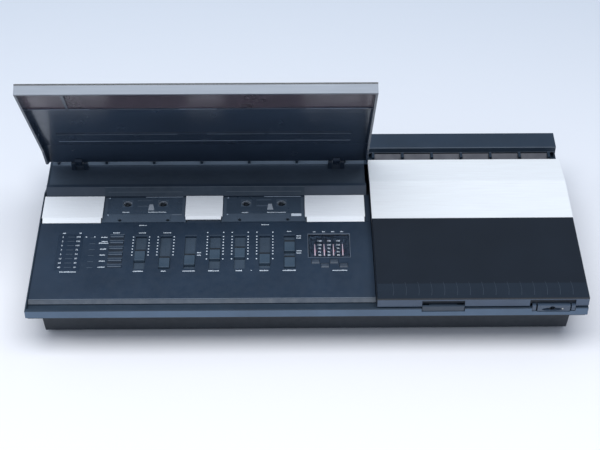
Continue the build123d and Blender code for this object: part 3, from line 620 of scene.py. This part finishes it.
def scale_dots():
    """Square dots on both sides of the slider pockets, and one small dot in front."""
    dots = Piece()

    def dot(x, y, size=1.45):
        dots.slab(around(x, size / 2), around(y, size / 2), over(PANEL))

    offset = 9.4
    short_scale = [89.8 + 5.05 * n for n in range(7)]
    long_scale = [82.7] + [90.6 + 4.93 * n for n in range(7)] + [127.1]
    scales = (short_scale, short_scale, [], long_scale, long_scale, long_scale)
    for x, rows in zip(COLUMNS, scales):
        for y in rows:
            dot(x - offset, y)
            dot(x + offset, y)
    dot(252.0, 63.6, 0.9)
    dots.make("scale_dots", "chassis", ink_white, "panel_black", smooth=False)


def column_captions(ink):
    """Captions in front of, behind and beside the columns."""
    front_widths = (12.0, 5.5, 14.0, 12.5, 7.5, 10.5, 15.5)
    for x, width in zip(COLUMNS, front_widths):
        ink.caption(x - 0.3, 63.4, PANEL, width)
    small = 1.5
    for x in COLUMNS[:2]:
        ink.caption(x + 0.6, 127.0, PANEL, 8.5, height=small)
    ink.caption(COLUMNS[-1], 128.3, PANEL, 5.5)
    for x in (122.8, 267.4):
        ink.caption(x, 140.0, PANEL, 8.6, height=small)
    for y in (93.2, 89.2):
        ink.caption(COLUMNS[2] + 10.6, y, PANEL, 4.6, height=small)
    for y in (120.5, 116.8, 95.4, 91.7):
        ink.caption(COLUMNS[-1] + 11.0, y, PANEL, 5.6, height=small)


def meter_print(ink):
    """Figures of the level meter and the captions round it."""
    for y, (left, right) in zip(METER_ROWS, METER_FIGURES):
        ink.number(left, 30.6, y, PANEL, 2.4)
        ink.number(right, 48.6, y, PANEL, 2.3)
    for x, width in ((31.5, 3.4), (50.5, 2.2)):
        ink.caption(x, 127.2, PANEL, width)
    ink.caption(41.8, 63.0, PANEL, 19.0)


def key_captions(ink):
    """Captions behind the push keys and one or two lines to the left of each."""
    ink.caption(57.8, 120.6, PANEL, 1.6)
    ink.caption(67.8, 120.8, PANEL, 1.2)
    ink.caption(93.0, 127.4, PANEL, 8.0)
    for y, width in zip(reversed(KEYS), (7.6, 11.5, 7.4, 6.4, 6.6, 7.6)):
        ink.caption(79.2, y - 1.4, PANEL, width)
    ink.caption(80.2, KEYS[4] + 1.4, PANEL, 7.2)


def tuner_captions(ink):
    """Captions behind the tuning pointers and in front of their window."""
    for x in TUNERS:
        ink.caption(x - 0.4, 127.3, PANEL, 3.6, height=1.6)
    ink.caption(354.0, 63.0, PANEL, 17.5)


def panel_print():
    """All the white figures and captions on the panel."""
    ink = Piece()
    column_captions(ink)
    meter_print(ink)
    key_captions(ink)
    tuner_captions(ink)
    ink.make("panel_figures", "chassis", ink_white, "panel_black", smooth=False)


def panel_lamps():
    """Unlit lamp bars between the meter figures and beside the push keys."""
    lamps = Piece()
    thick = 0.1
    for y in METER_ROWS:
        lamps.slab((36.5, 44.5), around(y, 0.45), over(PANEL, thick))
    for y in KEYS:
        lamps.slab((62.6, 69.4), (y - 2.65, y - 1.75), over(PANEL, thick))
    lamps.make("level_lamps", "chassis", faint_ink_and_highlight, "pane_clear", bevel=0.04, segments=1)


def key_edges():
    """Pale line behind each push key, a painted highlight, and a dark painted shadow line between two keys.
    """
    span = (85.6, 102.4)
    lines = Piece()
    for y in KEYS:
        lines.slab(span, (y + 2.8, y + 3.4), over(PANEL))
    lines.make("key_rim_highlights", "chassis", dim_ink_and_highlight, "panel_black", smooth=False)
    gap_shadows = Piece()
    for y in KEYS[:-1]:
        gap_shadows.slab(span, (y + 4.4, y + 6.4), over(PANEL))
    gap_shadows.make("key_gap_shadows", "chassis", shadow_line_black, "panel_black", smooth=False)


TUNER_LOW, TUNER_HIGH = cabinet("tuner_window")


def tuner_card():
    """Blue card under the tuning window, with a low strip beside each pointer's slit."""
    margin = 0.3
    scale_z = -19.15
    card = Piece()
    card.slab((TUNER_LOW.x + margin, TUNER_HIGH.x - margin), (TUNER_LOW.y + margin, TUNER_HIGH.y - margin),
              (scale_z - 0.03, scale_z))
    for x in TUNERS:
        card.slab((x - 1.4, x - 0.95), (86.2, 108.0), over(scale_z, 0.15))
    card.make("tuner_card", "chassis", card_blue_painted_light, "panel_black", smooth=False)


def tuner_figures():
    """Numbers on the window, in three columns between the four pointers."""
    figures = Piece()
    rows = (("108", 112.4), ("100", 105.6), ("96", 99.9), ("92", 94.0), ("88", 88.7))
    for before, after in zip(TUNERS, TUNERS[1:]):
        x = (before + after) / 2 - 0.2
        for value, y in rows:
            figures.number(value, x, y - 0.5, TUNER_HIGH.z, 2.3)
    figures.make("tuner_figures", "chassis", ink_white, "pane_clear", smooth=False)


def tuner_tracks():
    """Tapered track along the travel of each pointer."""
    front, back = 87.5, 106.5
    tracks = Piece()
    for x in TUNERS:
        left = x - 1.0
        tracks.plate([(left, front), (left + 1.5, front), (left + 0.9, back), (left + 0.2, back)],
                     over(TUNER_HIGH.z))
    tracks.make("tuner_tracks", "chassis", track_ink, "pane_clear", smooth=False)


def tuner_rim():
    """Fine raised rim round the tuning window."""
    rim = Piece()
    rim_z = (PANEL - 0.1, PANEL + 0.15)
    left, right = TUNER_LOW.x - 0.6, TUNER_HIGH.x + 0.6
    rim.slab((left, right), (TUNER_HIGH.y + 0.1, TUNER_HIGH.y + 0.9), rim_z)
    rim.slab((left, right), (TUNER_LOW.y - 0.5, TUNER_LOW.y - 0.1), rim_z)
    for x in (left, right - 0.4):
        rim.slab(over(x, 0.4), (TUNER_LOW.y - 0.1, TUNER_HIGH.y + 0.1), rim_z)
    rim.make("tuner_rim", "chassis", dim_ink_and_highlight, "panel_black", smooth=False)


# ---- reels ----

HUB_BORE = 5.2
HUB_RADIUS = 11.0
HUB_BOTTOM = -25.7
HUB_SHOULDER = -20.4
HUB_TOP = -20.1
HUB_TEETH = 6
SPINDLE_FINS = 3


def spoke(piece, center, angle, near, far, z):
    """Radial bar seen in plan, between two pairs of radius and half width."""
    along = Vector((math.cos(angle), math.sin(angle)))
    across = Vector((-math.sin(angle), math.cos(angle)))
    base = Vector((center.x, center.y))
    ends = (near, far, (far[0], -far[1]), (near[0], -near[1]))
    piece.plate([tuple(base + along * radius + across * half) for radius, half in ends], z)


def reel_hub(node, center):
    """White hub ring with a chamfered top and teeth in its bore."""
    hub = Piece()
    hub.lathe((center.x, center.y, 0), [
        (HUB_BORE, HUB_BOTTOM), (HUB_BORE, HUB_SHOULDER), (HUB_BORE + 0.3, HUB_TOP),
        (HUB_RADIUS - 0.4, HUB_TOP), (HUB_RADIUS, HUB_SHOULDER), (HUB_RADIUS, HUB_BOTTOM)])
    for k in range(HUB_TEETH):
        angle = math.radians(360 / HUB_TEETH * (k + 0.5))
        spoke(hub, center, angle, (4.2, 0.45), (5.4, 0.7), (HUB_BOTTOM + 0.1, HUB_SHOULDER + 0.1))
    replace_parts(hub.make(f"{node}_hub", node, hub_white, "reel_white"), node)


def tape_pack(node, center, radius):
    """Tape wound on the hub, with slightly rounded edges."""
    bottom, top = -24.8, -21.0
    edge = 0.2
    tape = Piece()
    tape.lathe((center.x, center.y, 0), [
        (HUB_RADIUS, bottom), (HUB_RADIUS, top), (radius - edge, top), (radius, top - edge),
        (radius, bottom + edge), (radius - edge, bottom)], steps=64)
    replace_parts(tape.make(f"{node}_tape", node, tape_brown, "reel_white"), node)


def drive_spindle(node, center):
    """Dark spindle with a flange under the deck plate and fins that grip the hub."""
    shaft, flange = 3.0, 12.0
    spindle = Piece()
    spindle.lathe((center.x, center.y, 0), [
        (0.0, -46), (shaft, -46), (shaft, -33), (flange, -33), (flange, -31), (shaft, -31),
        (shaft, -21.4), (2.2, -20.0), (1.0, -19.6), (0.0, -19.6)])
    for k in range(SPINDLE_FINS):
        angle = math.radians(360 / SPINDLE_FINS * k)
        spoke(spindle, center, angle, (1.5, 0.5), (4.1, 0.5), (-26, -20.6))
    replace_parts(spindle.make(f"{node}_spindle", node, knob_dark, "reel_white"), node)


def reels():
    """Hub, tape and spindle of the four reels."""
    for deck in "ab":
        for side in ("left", "right"):
            node = f"reel_{deck}_{side}"
            low, high = cabinet(node)
            center = (low + high) / 2
            reel_hub(node, center)
            tape_pack(node, center, (high.x - low.x) / 2)
            drive_spindle(node, center)


# ---- cassettes and deck ----

class CassetteFace:
    """Places on the top of one cassette, and a way to make the flat pieces that lie on it."""

    def __init__(self, deck):
        self.deck = deck
        self.low, self.high = cabinet(f"cassette_shell_{deck}")
        self.center = (self.low.x + self.high.x) / 2
        self.top = self.high.z - 0.9
        left_hub = middle(f"reel_{deck}_left")
        self.hub_y = left_hub.y
        self.hub_offset = self.center - left_hub.x
        self.film = over(self.top, 0.12)

    def make(self, piece, name, material, slot, **edge):
        """Finish a piece that lies still on this cassette."""
        piece.make(f"{name}_{self.deck}", "chassis", material, slot, **edge)


def cassette_label(face):
    """Label film round both hub holes and the window."""
    hole = 6.4
    window_half = 9.0
    left, right = face.low.x + 5.5, face.high.x - 5.5
    center, offset = face.center, face.hub_offset
    label = Piece()
    label.slab((left, right), (face.hub_y - 18.6, face.hub_y - hole), face.film)
    label.slab((left, right), (face.hub_y + hole, face.hub_y + 20.0), face.film)
    spans = ((left, center - offset - hole), (center - offset + hole, center - window_half),
             (center + window_half, center + offset - hole), (center + offset + hole, right))
    for span in spans:
        label.slab(span, around(face.hub_y, hole), face.film)
    face.make(label, "cassette_label", label_film, "cassette_black", smooth=False)


def cassette_window(face):
    """Pane between the hubs."""
    window = Piece()
    window.slab(around(face.center, 8.8), around(face.hub_y, 4.0), over(face.top, 0.3))
    face.make(window, "cassette_window", label_film, "pane_clear", bevel=0.1)


def cassette_screws(face):
    """Two small screw heads near the left edge."""
    screws = Piece()
    for y in (face.hub_y - 20.2, face.hub_y + 9.3):
        screws.lathe((face.low.x + 7.0, y, face.top), [
            (0.0, 0.0), (1.0, 0.0), (1.0, 0.2), (0.7, 0.4), (0.0, 0.4)], steps=20)
    face.make(screws, "cassette_screws", pale_metal_and_highlight, "steel_plain")


def cassette_ribs(face):
    """Fine ribs across the thick front part."""
    ribs = Piece()
    for k in range(5):
        y = face.low.y + 2.2 + 1.9 * k
        ribs.slab(around(face.center, 27), over(y, 0.5), (face.high.z - 0.05, face.high.z + 0.12))
    face.make(ribs, "cassette_ribs", cassette_body, "cassette_black", smooth=False)


def cassette_print(face):
    """Two rows of small print in front of the hubs, and a fine line under them."""
    surface = face.film[1]
    marks = Piece()
    marks_y = face.hub_y - {"a": 15.5, "b": 17.0}[face.deck]
    for x, width in ((-22.5, 7.6), (15.2, 22.0)):
        marks.caption(face.center + x, marks_y, surface, width, height=1.6)
    face.make(marks, "cassette_marks", ink_white, "cassette_black", smooth=False)
    line = Piece()
    line.slab((face.center - 25.0, face.center + 31.4), (face.hub_y - 13.0, face.hub_y - 12.6),
              over(surface))
    face.make(line, "cassette_line", faint_ink_and_highlight, "cassette_black", smooth=False)


def tape_gauge(face):
    """Pale tapered field in front of the window."""
    front, back = face.hub_y - 12.3, face.hub_y - 2.0
    outline = ((4.1, front), (11.4, front), (9.6, back), (5.2, back))
    gauge = Piece()
    gauge.plate([(face.center + x, y) for x, y in outline], over(face.film[1], 0.2))
    face.make(gauge, "tape_gauge", gauge_grey, "steel_plain", bevel=0.05, segments=1)


def ledge_highlight_bar(face):
    """Thin pale bar at the edge of the ledge, over the right half of the cassette: a painted highlight."""
    y = face.hub_y + 9.9
    leaf = Piece()
    leaf.slab((face.center + 0.3, face.center + 44.9), (y - 0.35, y + 0.2), (face.top + 1.0, face.top + 1.6))
    face.make(leaf, "ledge_highlight_bar", pale_metal_and_highlight, "steel_plain", bevel=0.08, segments=1)


def cassette_tag(face):
    """Small tag at the right, a thin grey one on the left cassette and a white one on the right."""
    material, front, back = {"a": (dim_ink_and_highlight, 20.6, 19.4), "b": (ink_white, 23.6, 19.2)}[face.deck]
    tag = Piece()
    tag.slab((face.center + 33.0, face.center + 45.0), (face.hub_y - front, face.hub_y - back),
             over(face.top, 0.15))
    face.make(tag, "cassette_tag", material, "cassette_black", bevel=0.05, segments=1)


def cassette_details():
    """Everything that lies on the two cassettes, and the leaf over each."""
    for deck in "ab":
        face = CassetteFace(deck)
        cassette_label(face)
        cassette_window(face)
        cassette_screws(face)
        cassette_ribs(face)
        cassette_print(face)
        tape_gauge(face)
        ledge_highlight_bar(face)
        cassette_tag(face)


def well_hoods():
    """Dark facing with fine lines on the slope of the ledge over the two wells; the facing's tone is lifted
    as painted light against the lid's shade.
    """
    inner = cabinet("trim_plate_left")[1].x, cabinet("trim_plate_right")[0].x
    bar_low, bar_high = cabinet("trim_plate_middle")
    foot = Vector((191.5, -15.7))
    crest = Vector((199.0, -7.0))
    lift = Vector((-0.055, 0.047))
    margin = 4.0

    def strip(x, start, stop, thick):
        near, far = foot.lerp(crest, start), foot.lerp(crest, stop)
        return x, [tuple(near), tuple(near + lift * thick), tuple(far + lift * thick), tuple(far)]

    facing = Piece()
    facing.profile(*strip(inner, 0.01, 0.99, 1.0))
    facing.make("hood_facing", "chassis", hood_painted_light, "panel_black", smooth=False)
    lines = Piece()
    for x in ((inner[0] + margin, bar_low.x - margin), (bar_high.x + margin, inner[1] - margin)):
        lines.profile(*strip(x, 0.40, 0.46, 3.0))
    lines.profile(*strip(inner, 0.92, 0.97, 3.0))
    lines.make("hood_lines", "chassis", faint_ink_and_highlight, "panel_black", smooth=False)


# ---- receiver ----

TOUCH_FILM_TOP = 0.03


def touch_band():
    """Slightly duller band along the front of the glass."""
    low, high = cabinet("receiver_glass")
    film = Piece()
    film.slab((low.x + 0.6, high.x - 0.6), (low.y + 0.8, 25.5), (0.0, TOUCH_FILM_TOP))
    film.make("touch_band", "chassis", touch_film, "glass_black", smooth=False)


def touch_marks():
    """Fifteen faint curved marks on the band, each a little narrower to the back."""
    first, last, count = 410.9, 611.7, 15
    half_width, bow = 0.3, 1.1
    front, length = 7.0, 21.0
    steps = 8
    marks = Piece()
    for k in range(count):
        x = first + (last - first) * k / (count - 1)
        left_side = []
        right_side = []
        for n in range(steps + 1):
            share = n / steps
            y = front + length * share
            middle_x = x + bow * math.sin(math.pi * share)
            half = half_width * (1.0 - 0.5 * share)
            left_side.append((middle_x - half, y))
            right_side.append((middle_x + half, y))
        marks.plate(left_side + list(reversed(right_side)), over(TOUCH_FILM_TOP))
    marks.make("touch_marks", "chassis", mark_ink, "glass_black", smooth=False)


def socket_details():
    """Polished bead in the socket recess and a ring round the headphone socket."""
    radius = 1.3
    steps = 8
    outline = []
    for k in range(steps + 1):
        angle = math.pi * k / steps - math.pi / 2
        outline.append((max(0.0, radius * math.cos(angle)), radius * math.sin(angle)))
    bead = Piece()
    bead.lathe((601.0, 1.4, -16.0), outline, steps=24)
    bead.make("socket_bead", "chassis", contact_metal, "steel_plain")
    bore, rim = 3.25, 4.1
    ring = Piece()
    ring.lathe((589.5, 2.6, -15.3), [
        (bore, -0.4), (rim - 0.2, -0.4), (rim, 0.0), (rim, 1.4), (bore, 1.4)], axis="Y")
    ring.make("headphone_ring", "chassis", knob_dark, "steel_plain")


def panel_edge():
    """Fine pale line along the front edge of the panel, a painted highlight."""
    line = Piece()
    line.slab((3.0, 389.0), (19.0, 19.6), over(PANEL))
    line.make("panel_edge_highlight", "chassis", dim_ink_and_highlight, "panel_black", smooth=False)


# ---- lid, given as it lies when closed ----

LINER_FRONT = 74.5
RIB_FRONT = 157.0
RIB_BACK = 181.5
RIB_FACE = (-5.0, -4.6)


def liner_edge_highlight():
    """Edge line of the liner, a painted highlight: bright over the trim plates and dim between them."""
    y = (LINER_FRONT - 0.35, LINER_FRONT + 0.05)
    z = (-3.7, -3.2)
    notch = 0.8
    plates = [cabinet(f"trim_plate_{side}") for side in ("left", "middle", "right")]
    bright = Piece()
    for low, high in plates:
        bright.slab((max(3.0, low.x), high.x - notch), y, z)
    bright.make("liner_edge_highlight", "lid", pale_metal_and_highlight, "aluminium_brushed", on_lid=True, smooth=False)
    dim = Piece()
    for before, after in zip(plates, plates[1:]):
        dim.slab((before[1].x + notch, after[0].x - notch), y, z)
    dim.make("liner_edge_dim_highlight", "lid", dim_ink_and_highlight, "gloss_black", on_lid=True, smooth=False)


def rib_lines():
    """Bright bead along the back of the stiffening rib, and a broken dim line along its front; both are
    painted highlights.
    """
    left, right = 22.2, 369.8
    bead = Piece()
    bead.slab((left, right), over(RIB_BACK, 0.4), RIB_FACE)
    bead.make("rib_bead_highlight", "lid", pale_metal_and_highlight, "gloss_black", on_lid=True, smooth=False)
    faint = Piece()
    for x in ((left, 165.0), (200.0, 268.0), (272.0, right)):
        faint.slab(x, over(RIB_FRONT, 0.35), RIB_FACE)
    faint.make("rib_front_line", "lid", dim_ink_and_highlight, "gloss_black", on_lid=True, smooth=False)


# ---- back ----

CHANNEL_FLOOR = -19.0
BAR_FRONT = 262.7


def channel_lining():
    """Dull lining in the channel behind the deck, left open round the two hinge ears; its tone is lifted as
    painted light against the lid's shade.
    """
    left, right = 3.2, 389.4
    left_ear, right_ear = (27.5, 48.5), (344.1, 365.1)
    z = (CHANNEL_FLOOR, CHANNEL_FLOOR + 0.1)
    lining = Piece()
    lining.slab((left, right), (206.2, 243.4), z)
    for x in ((left, left_ear[0]), (left_ear[1], right_ear[0]), (right_ear[1], right)):
        lining.slab(x, (243.4, 251.4), z)
    lining.slab((left, right), (252.2, 262.4), z)
    lining.make("channel_lining", "chassis", lining_painted_light, "case_black", smooth=False)


def vent_grille():
    """Sloping grille between each two ribs of the vent."""
    first_rib, pitch, count = 401.0, 36.4, 6
    gap = 1.8
    grille = Piece()
    for k in range(count):
        left = first_rib + pitch * k + gap
        grille.profile((left, left + pitch - 2 * gap), [
            (253.0, CHANNEL_FLOOR), (253.0, CHANNEL_FLOOR + 0.2), (262.5, -11.6), (262.5, -11.8)])
    grille.make("vent_grille", "chassis", vent_grey, "case_black", smooth=False)


def bar_lines():
    """Two fine painted highlight lines along the front of the rear bar."""
    low, high = cabinet("rear_cover")
    lines = Piece()
    for z in (-9.8, -2.5):
        lines.slab((low.x + 0.5, high.x - 0.5), (BAR_FRONT - 0.15, BAR_FRONT + 0.05), over(z, 0.4))
    lines.make("bar_edge_highlights", "chassis", dim_ink_and_highlight, "case_black", smooth=False)


def back_details():
    """Metal rings in the round audio sockets, rings and pins in the aerial sockets."""
    face = cabinet("rear_sockets")[1].y
    level = -50.0
    audio_radius, aerial_radius = 6.75, 4.65
    rings = Piece()
    for x in (60.0, 100.0, 140.0, 180.0):
        rings.lathe((x, face - 7.8, level), [
            (6.2, 0.0), (audio_radius, 0.0), (audio_radius, 7.0), (6.2, 7.0)], axis="Y")
    for x in (440.0, 470.0):
        rings.lathe((x, face - 10.2, level), [
            (4.0, 0.0), (aerial_radius, 0.0), (aerial_radius, 9.6), (4.0, 9.6)], axis="Y")
        rings.lathe((x, face - 10.2, level), [
            (0.0, 0.0), (1.2, 0.0), (1.2, 8.0), (0.6, 9.0), (0.0, 9.0)], axis="Y", steps=20)
    rings.make("socket_rings", "chassis", contact_metal, "steel_plain")


camera()
sky()
lamps()
backdrop()
finish_nodes()
slider_knobs()
pocket_liners()
pocket_rim_highlights()
push_keys()
scale_dots()
panel_print()
panel_lamps()
key_edges()
tuner_card()
tuner_figures()
tuner_tracks()
tuner_rim()
reels()
cassette_details()
well_hoods()
touch_band()
touch_marks()
socket_details()
panel_edge()
liner_edge_highlight()
rib_lines()
channel_lining()
vent_grille()
bar_lines()
back_details()
